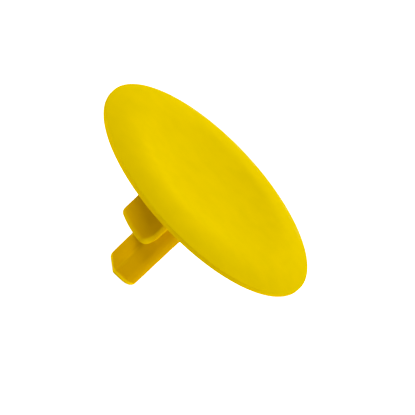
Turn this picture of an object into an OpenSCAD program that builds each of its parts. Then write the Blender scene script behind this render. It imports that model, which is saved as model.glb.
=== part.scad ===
// Push-in button plate for a 22 mm control push-button.
// The real plate is one plastic moulding. It is drawn as its three features, which meet face to face:
// the dished finger disc, the round plug post with its flat, and the key lug that stops it turning.
// Frame: millimetres, origin at the centre of the post's free end, +Z out of the finger side,
// key lug towards -X and -Y.

/* [Finger disc] */
// Outer diameter of the disc
disc_d = 23.5; // [22:0.5:26]
// Height of the disc's edge
edge_h = 0.46; // [0.4:0.02:0.8]
// Rounding of the edge's upper and lower corners
edge_round = 0.1; // [0.05:0.01:0.18]
// Radius at which the raised ring around the dish is highest
crest_r = 8.5; // [7.5:0.1:9]
// Radius of the ring's rounded section
crown_r = 9.6; // [9:0.1:14]
// Radius of the level middle of the dish
dish_flat_r = 2.3; // [1:0.1:3]
// Depth of the dish below the top of the ring
dish_depth = 0.46; // [0.3:0.02:0.5]

/* [Underside] */
// Height of the disc's outer underside above the post's free end
reach = 11.05; // [10:0.05:12]
// Diameter of the thicker middle of the disc, where the post stands
pad_d = 14; // [11:0.5:16]
// How far the thicker middle stands below the outer underside
pad_h = 0.35; // [0.2:0.05:0.5]
// Width of the slope around the thicker middle
pad_slope = 0.5; // [0.2:0.1:1]

/* [Plug post] */
// Diameter of the round post, from its free end up to the lug
post_d = 3.4; // [3.2:0.05:3.45]
// Diameter of the post where it meets the disc, after a slight taper above the lug's lower end
root_d = 3.5; // [3.5:0.05:3.7]
// Distance of the flat from the post's axis
flat_offset = 1.3; // [1.28:0.01:1.4]
// Direction in which the flat faces, from +X towards +Y
flat_angle = -149; // [-180:1:-120]
// Chamfer around the post's free end
tip_chamfer = 0.3; // [0.1:0.05:0.5]

/* [Key lug] */
// Radius of the lug's outer face, which is round about the post's axis
lug_r = 5; // [4:0.1:6]
// Distance of the lug's outer side from the post's axis
lug_side = 3.67; // [2.5:0.01:3.8]
// How far the lug's two inner sides lie past the post's axis
lug_past = 0.25; // [0:0.05:0.5]
// Height of the lug's lower end above the post's free end
lug_z = 4.95; // [3.5:0.05:6]
// Width of the rounded lower corner beside the inner side that faces +X
corner_w = 1.2; // [0.5:0.05:1.5]
// Height of that rounded corner
corner_h = 2.1; // [0.5:0.05:2.5]
// Rounding of the outer face's lower end, which leads the lug into its keyway
lead_round = 1.05; // [0.4:0.05:1.5]

/* [Hidden] */
mould_yellow = [0.90, 0.78, 0.01];
// Sides of each full circle, and straight steps in each rounded stretch of the section
facets = 128;
dish_steps = 10;
ring_steps = 24;
edge_steps = 6;
corner_steps = 10;
disc_r = disc_d / 2;
pad_r = pad_d / 2;
post_r = post_d / 2;
pad_z = reach - pad_h;
// The edge's upper rounding runs straight into the ring's rounding, so both centres and the angle
// where they meet follow from the sizes above
edge_cr = disc_r - edge_round;
edge_cz = reach + edge_h - edge_round;
edge_angle = asin((edge_cr - crest_r) / (crown_r - edge_round));
ring_cz = edge_cz - (crown_r - edge_round) * cos(edge_angle);
// The dish's slope and the ring's slope are the same where they meet
dish_span = crest_r - dish_flat_r;
radius_sum = (pow(dish_span, 2) + pow(dish_depth, 2)) / (2 * dish_depth);
dish_angle = asin(dish_span / radius_sum);
dish_r = radius_sum - crown_r;
dish_cz = ring_cz + crown_r - dish_depth + dish_r;
lug_h = pad_z - lug_z;

// Points on an arc around [cr, cz], from angle a to angle b in n steps
function arc(cr, cz, r, a, b, n) =
    [for (i = [0:n]) let (t = a + (b - a) * i / n) [cr + r * cos(t), cz + r * sin(t)]];

// Half section of the disc: dish, ring, edge, outer underside and thicker middle
module disc_section() {
    dish = arc(dish_flat_r, dish_cz, dish_r, -90, -90 + dish_angle, dish_steps);
    ring = arc(crest_r, ring_cz, crown_r, 90 + dish_angle, 90 - edge_angle, ring_steps);
    upper = arc(edge_cr, edge_cz, edge_round, 90 - edge_angle, 0, edge_steps);
    lower = arc(edge_cr, reach + edge_round, edge_round, 0, -90, edge_steps);
    pad = [[pad_r + pad_slope, reach], [pad_r, pad_z], [0, pad_z]];
    polygon(concat([[0, dish_cz - dish_r]], dish, ring, upper, lower, pad));
}

// The post up to height top: straight as far as the lug, then tapered, with the flat all the way
module post_to(top) {
    top_r = post_r + (root_d / 2 - post_r) * (top - lug_z) / lug_h;
    difference() {
        union() {
            cylinder(h = tip_chamfer, r1 = post_r - tip_chamfer, r2 = post_r, $fn = facets);
            translate([0, 0, tip_chamfer]) cylinder(h = lug_z - tip_chamfer, r = post_r, $fn = facets);
            translate([0, 0, lug_z]) cylinder(h = top - lug_z, r1 = post_r, r2 = top_r, $fn = facets);
        }
        rotate(flat_angle) translate([flat_offset, -post_d, -reach]) cube([post_d, 2 * post_d, 3 * reach]);
    }
}

// Half section of the round body that the lug is cut from
module lug_section() {
    lead = arc(lug_r - lead_round, lead_round, lead_round, -90, 0, corner_steps);
    polygon(concat([[0, 0]], lead, [[lug_r, lug_h], [0, lug_h]]));
}

// The lug's outline from the front, with its lower corner rounded on the +X side
module lug_front() {
    corner = [
        for (p = arc(0, 0, 1, -90, 0, corner_steps))
            [lug_past - corner_w + corner_w * p[0], corner_h + corner_h * p[1]]
    ];
    polygon(concat([[lug_past, lug_h], [-lug_side, lug_h], [-lug_side, 0]], corner));
}

module finger_disc() {
    color(mould_yellow) rotate_extrude($fn = facets) disc_section();
}

module plug_post() {
    color(mould_yellow) post_to(pad_z);
}

module key_lug() {
    color(mould_yellow) difference() {
        translate([0, 0, lug_z]) intersection() {
            rotate_extrude($fn = facets) lug_section();
            translate([0, lug_past, 0]) rotate([90, 0, 0]) linear_extrude(2 * lug_r) lug_front();
        }
        post_to(pad_z + lug_h);
    }
}

finger_disc();
plug_post();
key_lug();
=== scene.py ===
import math

import bpy
import numpy as np
from mathutils import Matrix, Vector


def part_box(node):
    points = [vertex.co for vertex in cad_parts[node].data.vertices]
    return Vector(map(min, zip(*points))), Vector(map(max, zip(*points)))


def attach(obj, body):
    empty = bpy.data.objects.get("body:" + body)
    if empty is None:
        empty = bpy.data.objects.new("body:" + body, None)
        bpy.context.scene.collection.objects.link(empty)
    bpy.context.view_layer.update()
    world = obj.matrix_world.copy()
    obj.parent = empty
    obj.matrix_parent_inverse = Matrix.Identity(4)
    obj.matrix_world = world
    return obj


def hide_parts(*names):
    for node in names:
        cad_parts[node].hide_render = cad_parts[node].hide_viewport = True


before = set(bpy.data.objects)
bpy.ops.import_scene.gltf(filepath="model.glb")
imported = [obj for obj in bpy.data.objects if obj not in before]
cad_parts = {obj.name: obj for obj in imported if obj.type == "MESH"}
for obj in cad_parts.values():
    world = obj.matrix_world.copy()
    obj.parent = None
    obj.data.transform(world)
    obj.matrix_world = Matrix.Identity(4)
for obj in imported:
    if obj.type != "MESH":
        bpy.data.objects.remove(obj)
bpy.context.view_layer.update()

# Lengths are in millimetres in the part's own frame, except where a comment says metres.
MM = 0.001


def node_box(node):
    """Lowest and highest corner of a CAD node, in millimetres."""
    return [np.array(corner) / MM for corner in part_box(node)]


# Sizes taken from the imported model
disc_lo, disc_hi = node_box("finger_disc")
lug_lo, lug_hi = node_box("key_lug")
DISC_R = disc_hi[0]
PAD_Z = disc_lo[2]
POST_ROOT = node_box("plug_post")[1][0]
LUG_R = -lug_lo[1]
LUG_SIDE = -lug_lo[0]
LUG_PAST = lug_hi[0]
LUG_Z = lug_lo[2]

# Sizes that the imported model's boxes don't give, the same as in its source
EDGE_H = 0.46
EDGE_ROUND = 0.1
CREST_R = 8.5
CROWN_R = 9.6
DISH_FLAT_R = 2.3
DISH_DEPTH = 0.46
PAD_R = 7.0
PAD_H = 0.35
PAD_SLOPE = 0.5
FLAT_ANGLE = math.radians(-149)
CORNER_W = 1.2
CORNER_H = 2.1
LEAD_ROUND = 1.05

# In the photo the post looks like a square with very round corners, turned a little, and its flat
# leans into it towards the free end
POST_HALF = 1.65
POST_CORNER = 1.2
POST_TURN = math.radians(10)
POST_TAPER = 0.01
FLAT_OFFSET = 1.24
FLAT_DRAFT = 0.045

# Roundings and blends, read from the photo's shading
RIDGE_ROUND = 0.3
TIP_ROUND = 0.36
LUG_ROUND = 0.42
CORNER_ROUND = 0.3
LUG_FILLET = 0.22
ROOT_FILLET = 0.4
# How far a blend runs on under the surface that it joins
SINK = 0.03
# Grid cell of the meshes of the post and the lug
CELL = 0.09
# Segments around the disc
DISC_SEGMENTS = 256

# Width of the lighter band along the lower corner of the disc's edge, and how light it is: rubbing and
# a painted highlight
RIM_WEAR_AND_HIGHLIGHT = 0.2
RIM_WEAR_AND_HIGHLIGHT_LEVEL = 0.8
# How much more the post's edges are lightened than the lug's, by rubbing and a painted highlight
POST_WEAR_AND_HIGHLIGHT = 1.7

# Colours of the plastic: two tones that drift into each other, a darker, warmer one that paints shade
# below the disc's face, and a lighter one on the edges, partly rubbing and partly a painted highlight
TONE_A = (0.78, 0.555, 0.0, 1)
TONE_B = (0.81, 0.575, 0.0, 1)
TONE_SHADE_BELOW = (0.71, 0.405, 0.0, 1)
TONE_WORN_AND_LIT = (1.0, 0.73, 0.01, 1)
GLOSS_TINT = (1.0, 0.8, 0.05, 1.0)
GLOSS = 0.06
ROUGHNESS_LOW = 0.48
ROUGHNESS_HIGH = 0.6
# Height of the bumps, and how strongly they show
BUMP_HEIGHT = 0.003
BUMP_STRENGTH = 0.4

# Camera: the disc's radius spans this share of half the picture's width
ELEVATION = math.radians(22.9)
ROLL = math.radians(46.84)
DISTANCE = 25 * DISC_R
DISC_SHARE = 0.6554
AIM_RIGHT = 0.018
AIM_DOWN = 0.1234

# Studio, in metres: usual width of a light, its distance from the disc, half the floor's width
LIGHT_SIZE = 0.3
LIGHT_DISTANCE = 0.5
FLOOR_HALF = 0.8
FLOOR_COLOUR = (0.75, 0.75, 0.75, 1)
FLOOR_GLOW = 0.85
WHITE = (1, 1, 1, 1)
WORLD_GLOW = 0.03
# Blue that the picture drops, because the photo's yellow has almost none
BLUE_CUT = 0.035


# ---------------------------------------------------------------- shapes

def round_both(a, b, r):
    """Field of what is inside both a and b, with the edge between them rounded to radius r."""
    rounded = np.hypot(np.maximum(a + r, 0), np.maximum(b + r, 0))
    return np.minimum(np.maximum(a, b), -r) + rounded


def round_either(a, b, r):
    """Field of what is inside a or b, with a fillet of radius r where they meet."""
    return -round_both(-a, -b, r)


def post_side(x, y, z):
    """Field of the endless post: its four round corners, its slight taper and its flat."""
    across = np.abs(x * math.cos(POST_TURN) + y * math.sin(POST_TURN)) - POST_HALF
    along = np.abs(y * math.cos(POST_TURN) - x * math.sin(POST_TURN)) - POST_HALF
    body = round_both(across, along, POST_CORNER) - POST_TAPER * np.maximum(z - LUG_Z, 0)
    flat = x * math.cos(FLAT_ANGLE) + y * math.sin(FLAT_ANGLE) - FLAT_OFFSET - FLAT_DRAFT * z
    return round_both(body, flat, RIDGE_ROUND)


def disc_side(z):
    """Field of the disc's body above the pad, sunk so that the blend ends inside it."""
    return PAD_Z + SINK - z


def post_field(x, y, z):
    """The post with its rounded free end and its blend into the disc."""
    post = round_both(post_side(x, y, z), -z, TIP_ROUND)
    blended = round_either(post, disc_side(z), ROOT_FILLET)
    reach = np.hypot(x, y) - (POST_ROOT + ROOT_FILLET)
    return np.maximum(np.maximum(blended, reach), z - PAD_Z - 2 * SINK)


def lug_field(x, y, z):
    """The lug with rounded edges and blends into the post and the disc."""
    across = np.maximum(1 + (x - LUG_PAST) / CORNER_W, 0)
    down = np.maximum(1 + (LUG_Z - z) / CORNER_H, 0)
    inner = (np.hypot(across, down) - 1) * CORNER_W
    outer = np.hypot(x, y) - LUG_R
    face = round_both(outer, LUG_Z - z, LEAD_ROUND)
    sides = round_both(-LUG_SIDE - x, y - LUG_PAST, CORNER_ROUND)
    lug = round_both(round_both(face, inner, LUG_ROUND), sides, CORNER_ROUND)
    with_post = round_either(lug, post_side(x, y, z) + SINK, LUG_FILLET)
    blended = round_either(with_post, disc_side(z), ROOT_FILLET)
    reach = np.hypot(x, y) - (LUG_R + ROOT_FILLET)
    ends = np.maximum(z - PAD_Z - 2 * SINK, LUG_Z - 2 * LUG_FILLET - z)
    return np.maximum(np.maximum(blended, reach), ends)


def net_of_field(field, lo, hi, cell):
    """Closed mesh of the surface where field is zero: one point in each grid cell that it crosses."""
    steps = [np.arange(a - 1.5 * cell, b + 2.5 * cell, cell) for a, b in zip(lo, hi)]
    grid = np.meshgrid(*steps, indexing="ij")
    value = field(*grid)
    inside = value < 0
    place = np.stack(grid, -1)
    cells = tuple(n - 1 for n in value.shape)
    total = np.zeros(cells + (3,))
    count = np.zeros(cells)
    crossings = []
    for axis in range(3):
        first = [slice(None)] * 3
        second = [slice(None)] * 3
        first[axis], second[axis] = slice(0, -1), slice(1, None)
        first, second = tuple(first), tuple(second)
        crossed = inside[first] != inside[second]
        gap = np.where(crossed, value[first] - value[second], 1)
        share = np.where(crossed, value[first] / gap, 0)[..., None]
        point = place[first] * (1 - share) + place[second] * share
        # Each grid edge touches the four cells around it
        side_a, side_b = [k for k in range(3) if k != axis]
        for da in (0, 1):
            for db in (0, 1):
                pick = [slice(None)] * 3
                pick[side_a] = slice(da, da + cells[side_a])
                pick[side_b] = slice(db, db + cells[side_b])
                pick = tuple(pick)
                total += np.where(crossed[pick][..., None], point[pick], 0)
                count += crossed[pick]
        crossings.append((axis, side_a, side_b, crossed, inside[first]))
    used = count > 0
    number = np.full(cells, -1)
    number[used] = np.arange(used.sum())
    points = total[used] / count[used][:, None]
    faces = []
    for axis, side_a, side_b, crossed, starts_inside in crossings:
        at = np.argwhere(crossed)
        at = at[(at[:, side_a] > 0) & (at[:, side_b] > 0)]
        step_a, step_b = np.eye(3, dtype=int)[side_a], np.eye(3, dtype=int)[side_b]
        ring = [at - step_a - step_b, at - step_b, at, at - step_a]
        quad = np.stack([number[tuple(c.T)] for c in ring], 1)
        outward = starts_inside[tuple(at.T)] == (axis != 1)
        faces.append(np.where(outward[:, None], quad, quad[:, ::-1]))
    return settle(field, points), np.concatenate(faces)


def slope_of(field, points, probe):
    """Slope of the field at each point, from its change over the length of the probe."""
    value = field(*points.T)
    return np.stack([(field(*(points + step).T) - value) / probe for step in np.eye(3) * probe], 1)


# Mask for the lighter edges: rubbing and a painted highlight
def edge_wear_and_highlight(field, points, depth=0.5, probe=1e-3):
    """How sharp the surface is at each point: 0 where it's flat or hollow, 1 on a square edge."""
    slope = slope_of(field, points, probe)
    outward = slope / np.maximum(np.linalg.norm(slope, axis=1), 1e-9)[:, None]
    # A square edge gives 1 - sqrt(1/2) here
    return np.clip((1 + field(*(points - outward * depth).T) / depth) / (1 - math.sqrt(0.5)), 0, 1)


def settle(field, points, passes=4, probe=1e-4):
    """Move points along the field's slope until they lie on its surface."""
    for _ in range(passes):
        slope = slope_of(field, points, probe)
        steepness = np.maximum((slope ** 2).sum(1), 0.1)
        points = points - slope * (field(*points.T) / steepness)[:, None]
    return points


def arc(cr, cz, r, start, end, steps):
    """Points on an arc around (cr, cz), with angles in radians."""
    return [(cr + r * math.cos(t), cz + r * math.sin(t)) for t in np.linspace(start, end, steps)]


def line(a, b, steps):
    """Points between a and b, without either end."""
    return [tuple(np.array(a) * (1 - t) + np.array(b) * t) for t in np.linspace(0, 1, steps + 2)[1:-1]]


def disc_section():
    """Half section of the disc from the middle of the dish to the middle of the pad."""
    quarter = math.pi / 2
    reach = PAD_Z + PAD_H
    edge_r, edge_z = DISC_R - EDGE_ROUND, reach + EDGE_H - EDGE_ROUND
    edge_angle = math.asin((edge_r - CREST_R) / (CROWN_R - EDGE_ROUND))
    ring_z = edge_z - (CROWN_R - EDGE_ROUND) * math.cos(edge_angle)
    span = CREST_R - DISH_FLAT_R
    radius_sum = (span ** 2 + DISH_DEPTH ** 2) / (2 * DISH_DEPTH)
    dish_angle = math.asin(span / radius_sum)
    dish_r = radius_sum - CROWN_R
    dish_z = ring_z + CROWN_R - DISH_DEPTH + dish_r
    middle = (0, dish_z - dish_r)
    dish = arc(DISH_FLAT_R, dish_z, dish_r, -quarter, -quarter + dish_angle, 40)
    ring = arc(CREST_R, ring_z, CROWN_R, quarter + dish_angle, quarter - edge_angle, 48)
    upper = arc(edge_r, edge_z, EDGE_ROUND, quarter - edge_angle, 0, 8)
    lower = arc(edge_r, reach + EDGE_ROUND, EDGE_ROUND, 0, -quarter, 8)
    outer = (PAD_R + PAD_SLOPE, reach)
    pad = (PAD_R, PAD_Z)
    centre = (0, PAD_Z)
    top = [middle] + line(middle, dish[0], 12) + dish + ring[1:] + upper[1:]
    underside = lower + line(lower[-1], outer, 24) + [outer] + line(outer, pad, 4) + [pad]
    return top + underside + line(pad, centre, 60) + [centre]


def revolve(section, segments):
    """Closed mesh of a half section that starts and ends on the axis."""
    turns = np.linspace(0, 2 * math.pi, segments, endpoint=False)
    rings = [[(r * math.cos(t), r * math.sin(t), z) for t in turns] for r, z in section[1:-1]]
    points = [(0, 0, section[0][1])] + [p for ring in rings for p in ring] + [(0, 0, section[-1][1])]
    last = len(points) - 1
    faces = []
    for k in range(segments):
        after = (k + 1) % segments
        faces.append((0, 1 + k, 1 + after))
        for ring in range(len(rings) - 1):
            a, b = 1 + ring * segments, 1 + (ring + 1) * segments
            faces.append((a + k, b + k, b + after, a + after))
        end = 1 + (len(rings) - 1) * segments
        faces.append((end + k, last, end + after))
    return np.array(points), faces


# ---------------------------------------------------------------- pieces

def new_piece(name, points, faces, wear_and_highlight, node):
    """A smooth piece from points in millimetres and the lightening at each (rubbing and a painted
    highlight), which stands for a CAD node.
    """
    mesh = bpy.data.meshes.new(name)
    mesh.from_pydata((np.asarray(points) * MM).tolist(), [], [tuple(map(int, f)) for f in faces])
    mesh.shade_smooth()
    mesh.update()
    mesh.attributes.new("wear_and_highlight", "FLOAT", "POINT").data.foreach_set("value", wear_and_highlight)
    piece = bpy.data.objects.new(name, mesh)
    bpy.context.scene.collection.objects.link(piece)
    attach(piece, "root")
    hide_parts(node)
    return piece


def make_disc():
    """The disc, lighter along the lower corner of its edge: rubbing and a painted highlight."""
    points, faces = revolve(disc_section(), DISC_SEGMENTS)
    x, y, z = points.T
    near_rim = np.clip(1 - (DISC_R - np.hypot(x, y)) / RIM_WEAR_AND_HIGHLIGHT, 0, 1)
    in_lower_half = np.clip(1 - (z - PAD_Z - PAD_H) / (EDGE_H / 2), 0, 1)
    wear_and_highlight = RIM_WEAR_AND_HIGHLIGHT_LEVEL * near_rim * in_lower_half
    return new_piece("dished_disc", points, faces, wear_and_highlight, "finger_disc")


def make_post():
    """The post, lighter on its edges: rubbing and a painted highlight."""
    margin = POST_ROOT + ROOT_FILLET
    lo, hi = (-margin, -margin, 0), (margin, margin, PAD_Z + 2 * SINK)
    points, faces = net_of_field(post_field, lo, hi, CELL)
    wear_and_highlight = np.minimum(POST_WEAR_AND_HIGHLIGHT * edge_wear_and_highlight(post_field, points), 1)
    return new_piece("plug_stem", points, faces, wear_and_highlight, "plug_post")


def make_lug():
    """The lug, lighter on its edges and its lead-in: rubbing and a painted highlight."""
    lo = (-LUG_SIDE - ROOT_FILLET, -LUG_R - ROOT_FILLET, LUG_Z - 2 * LUG_FILLET)
    hi = (POST_ROOT + ROOT_FILLET, POST_ROOT + ROOT_FILLET, PAD_Z + 2 * SINK)
    points, faces = net_of_field(lug_field, lo, hi, CELL)
    # The rounded lead-in is lighter too, most of all at its lower end: rubbing and a painted highlight
    lead_wear_and_highlight = np.clip((LUG_Z + LEAD_ROUND - points[:, 2]) / LEAD_ROUND, 0, 1)
    wear_and_highlight = np.maximum(edge_wear_and_highlight(lug_field, points), lead_wear_and_highlight)
    return new_piece("key_boss", points, faces, wear_and_highlight, "key_lug")


# ---------------------------------------------------------------- materials

def add_range(tree, value, low, high, a, b):
    """Node output that goes from a to b while the value goes from low to high."""
    scale = tree.nodes.new("ShaderNodeMapRange")
    for name, number in zip(("From Min", "From Max", "To Min", "To Max"), (low, high, a, b)):
        scale.inputs[name].default_value = number
    tree.links.new(value, scale.inputs["Value"])
    return scale.outputs["Result"]


def add_noise(tree, place, per_mm, detail, low, high, a, b):
    """Noise with so many waves per millimetre, whose levels from low to high become a to b."""
    texture = tree.nodes.new("ShaderNodeTexNoise")
    texture.inputs["Scale"].default_value = per_mm / MM
    texture.inputs["Detail"].default_value = detail
    tree.links.new(place, texture.inputs["Vector"])
    return add_range(tree, texture.outputs["Fac"], low, high, a, b)


def add_mix(tree, factor, a, b):
    """Colour that goes from a to b with the factor. Each is a colour or another node's output."""
    blend = tree.nodes.new("ShaderNodeMix")
    blend.data_type = "RGBA"
    tree.links.new(factor, blend.inputs["Factor"])
    for name, colour in (("A", a), ("B", b)):
        if isinstance(colour, tuple):
            blend.inputs[name].default_value = colour
        else:
            tree.links.new(colour, blend.inputs[name])
    return blend.outputs["Result"]


def moulded_plastic():
    """Satin yellow plastic: slow drift of tone, painted shade below the disc's face, uneven gloss,
    fine bumps, and edges lighter from rubbing and a painted highlight.
    """
    material = bpy.data.materials.new("yellow_moulded_plastic")
    material.use_nodes = True
    tree = material.node_tree
    shader = tree.nodes["Principled BSDF"]
    shader.inputs["Specular IOR Level"].default_value = GLOSS
    shader.inputs["Specular Tint"].default_value = GLOSS_TINT
    place = tree.nodes.new("ShaderNodeTexCoord").outputs["Object"]
    wear_and_highlight = tree.nodes.new("ShaderNodeAttribute")
    wear_and_highlight.attribute_name = "wear_and_highlight"
    height = tree.nodes.new("ShaderNodeSeparateXYZ")
    tree.links.new(place, height.inputs["Vector"])

    # Painted shade: the colour turns darker and warmer below the disc's face, where the disc shades
    # the post and the lug
    underside = PAD_Z + PAD_H
    shade_below = add_range(tree, height.outputs["Z"], (underside + EDGE_H) * MM, underside * MM, 0, 1)
    tone = add_mix(tree, add_noise(tree, place, 0.5, 4, 0.35, 0.65, 0, 1), TONE_A, TONE_B)
    tone_with_shade = add_mix(tree, shade_below, tone, TONE_SHADE_BELOW)
    # Lighter edges: rubbing and a painted highlight
    worn_and_lit = add_mix(tree, wear_and_highlight.outputs["Fac"], tone_with_shade, TONE_WORN_AND_LIT)
    tree.links.new(worn_and_lit, shader.inputs["Base Color"])

    rough = add_noise(tree, place, 1.5, 3, 0.3, 0.7, ROUGHNESS_LOW, ROUGHNESS_HIGH)
    tree.links.new(rough, shader.inputs["Roughness"])

    bump = tree.nodes.new("ShaderNodeBump")
    bump.inputs["Strength"].default_value = BUMP_STRENGTH
    bump.inputs["Distance"].default_value = BUMP_HEIGHT * MM
    tree.links.new(add_noise(tree, place, 6, 2, 0.3, 0.7, 0, 1), bump.inputs["Height"])
    tree.links.new(bump.outputs["Normal"], shader.inputs["Normal"])
    return material


# ---------------------------------------------------------------- studio

def make_floor():
    """Plain pale floor, 0 at the part's lowest point, that glows so that shadows on it don't show."""
    mesh = bpy.data.meshes.new("floor")
    corners = [(x * FLOOR_HALF, y * FLOOR_HALF, 0) for x, y in ((-1, -1), (1, -1), (1, 1), (-1, 1))]
    mesh.from_pydata(corners, [], [(0, 1, 2, 3)])
    floor = bpy.data.objects.new("floor", mesh)
    bpy.context.scene.collection.objects.link(floor)
    material = bpy.data.materials.new("pale_floor")
    material.use_nodes = True
    shader = material.node_tree.nodes["Principled BSDF"]
    shader.inputs["Base Color"].default_value = FLOOR_COLOUR
    shader.inputs["Roughness"].default_value = 0.9
    shader.inputs["Specular IOR Level"].default_value = 0.1
    shader.inputs["Emission Color"].default_value = WHITE
    shader.inputs["Emission Strength"].default_value = FLOOR_GLOW
    mesh.materials.append(material)
    # The floor's own glow only keeps the floor pale: it lights no piece
    lit = bpy.data.collections.new("lit_by_floor")
    lit.objects.link(floor)
    floor.light_linking.receiver_collection = lit


def make_light(name, azimuth, elevation, power, size=LIGHT_SIZE, glossy=True):
    """A square soft light that faces the disc. Azimuth 0 is +X and 90 is +Y, in degrees."""
    data = bpy.data.lights.new(name, "AREA")
    data.size = size
    data.energy = power
    light = bpy.data.objects.new(name, data)
    bpy.context.scene.collection.objects.link(light)
    turn, lift = math.radians(azimuth), math.radians(elevation)
    out = Vector((math.cos(turn) * math.cos(lift), math.sin(turn) * math.cos(lift), math.sin(lift)))
    light.location = Vector((0, 0, PAD_Z * MM)) + out * LIGHT_DISTANCE
    light.rotation_mode = "QUATERNION"
    light.rotation_quaternion = out.to_track_quat("Z", "Y")
    light.visible_glossy = glossy


def make_world():
    """Faint white light from all around."""
    world = bpy.data.worlds.new("studio")
    world.use_nodes = True
    background = world.node_tree.nodes["Background"]
    background.inputs["Color"].default_value = WHITE
    background.inputs["Strength"].default_value = WORLD_GLOW
    bpy.context.scene.world = world


def set_picture():
    """Plain view transform, with the last of the blue taken out."""
    view = bpy.context.scene.view_settings
    view.view_transform = "Standard"
    view.use_curve_mapping = True
    view.curve_mapping.black_level = (0, 0, BLUE_CUT)
    view.curve_mapping.update()


def make_camera():
    """Camera low over the disc's edge, rolled so that the post points down to the left."""
    back = Vector((0, -math.cos(ELEVATION), math.sin(ELEVATION)))
    level = Vector((1, 0, 0))
    upright = back.cross(level)
    right = level * math.cos(ROLL) + upright * math.sin(ROLL)
    up = upright * math.cos(ROLL) - level * math.sin(ROLL)
    aim = Vector((0, 0, PAD_Z + PAD_H)) + (right * AIM_RIGHT - up * AIM_DOWN) * DISC_R
    data = bpy.data.cameras.new("camera")
    data.lens = data.sensor_width / 2 / (DISC_R / DISTANCE / DISC_SHARE)
    data.clip_start = 0.005
    data.clip_end = 5
    camera = bpy.data.objects.new("camera", data)
    bpy.context.scene.collection.objects.link(camera)
    turn = Matrix((right, up, back)).transposed().to_4x4()
    camera.matrix_world = Matrix.Translation((aim + back * DISTANCE) * MM) @ turn
    bpy.context.scene.camera = camera


make_camera()
plastic = moulded_plastic()
for piece in (make_disc(), make_post(), make_lug()):
    piece.data.materials.append(plastic)
make_floor()
make_world()
make_light("right", azimuth=25, elevation=32, power=0.85)
make_light("left", azimuth=172, elevation=60, power=0.57)
# The back light gives no gloss, which would show as white on the disc
make_light("back", azimuth=95, elevation=17, power=2.5, glossy=False)
make_light("low_right", azimuth=350, elevation=9, power=1.25, size=0.15)
make_light("front_left", azimuth=220, elevation=33, power=1.35, size=0.12)
set_picture()
